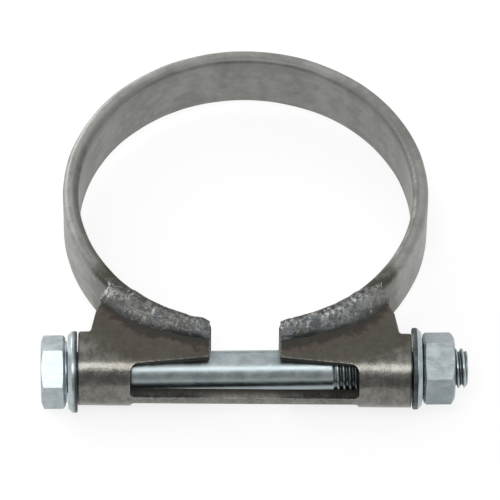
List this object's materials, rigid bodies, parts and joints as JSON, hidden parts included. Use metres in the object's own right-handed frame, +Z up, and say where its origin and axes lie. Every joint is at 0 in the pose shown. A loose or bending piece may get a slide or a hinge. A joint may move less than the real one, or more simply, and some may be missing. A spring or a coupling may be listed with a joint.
{
  "type": "band clamp",
  "caption": "Exhaust band clamp: flat steel band welded to a slotted folded saddle, drawn together by a hex bolt, plain washers and a nut.",
  "frame": {"origin": "below the middle of the bounding box, on the surface that the clamp lies on", "axes": "+X along the saddle from the bolt's head to its nut, +Y from the saddle towards the back of the band, +Z up along the axis of the band's ring; the loose bolt is 1.2 degrees askew of +X"},
  "size_m": [0.1066, 0.1088, 0.0218],
  "materials": {
    "band_steel": "bare mill-finished steel, dull, with faint scale and rolling marks",
    "saddle_steel": "bare pressed sheet, browned by the heat of welding",
    "weld_metal": "rough blue-grey weld bead with bright specks",
    "zinc_plate": "bright zinc plating with a cool tint"
  },
  "bodies": {
    "clamp": {"band": "band_steel", "saddle": "saddle_steel", "weld_bead_upper_left": "weld_metal", "weld_bead_upper_right": "weld_metal", "weld_bead_lower_left": "weld_metal", "weld_bead_lower_right": "weld_metal"},
    "bolt": {"hex_bolt": "zinc_plate", "head_washer": "zinc_plate"},
    "washer": {"nut_washer": "zinc_plate"},
    "nut": {"hex_nut": "zinc_plate"}
  },
  "joints": [
    {"name": "bolt_turn", "type": "hinge", "parent": "clamp", "child": "bolt", "pos_m": [-0.00236, -0.04333, 0.01091], "axis": [0.9998, 0.0209, 0], "continuous": true},
    {"name": "nut_travel", "type": "slide", "parent": "bolt", "child": "washer", "axis": [0.9998, 0.0209, 0], "range_m": [0, 0.009]},
    {"name": "nut_turn", "type": "hinge", "parent": "washer", "child": "nut", "pos_m": [-0.00236, -0.04333, 0.01091], "axis": [0.9998, 0.0209, 0], "range_deg": [0, 2160]}
  ],
  "couplings": [
    {"joint": "nut_travel", "follows": "nut_turn", "m_per_rad": 0.00023873}
  ]
}
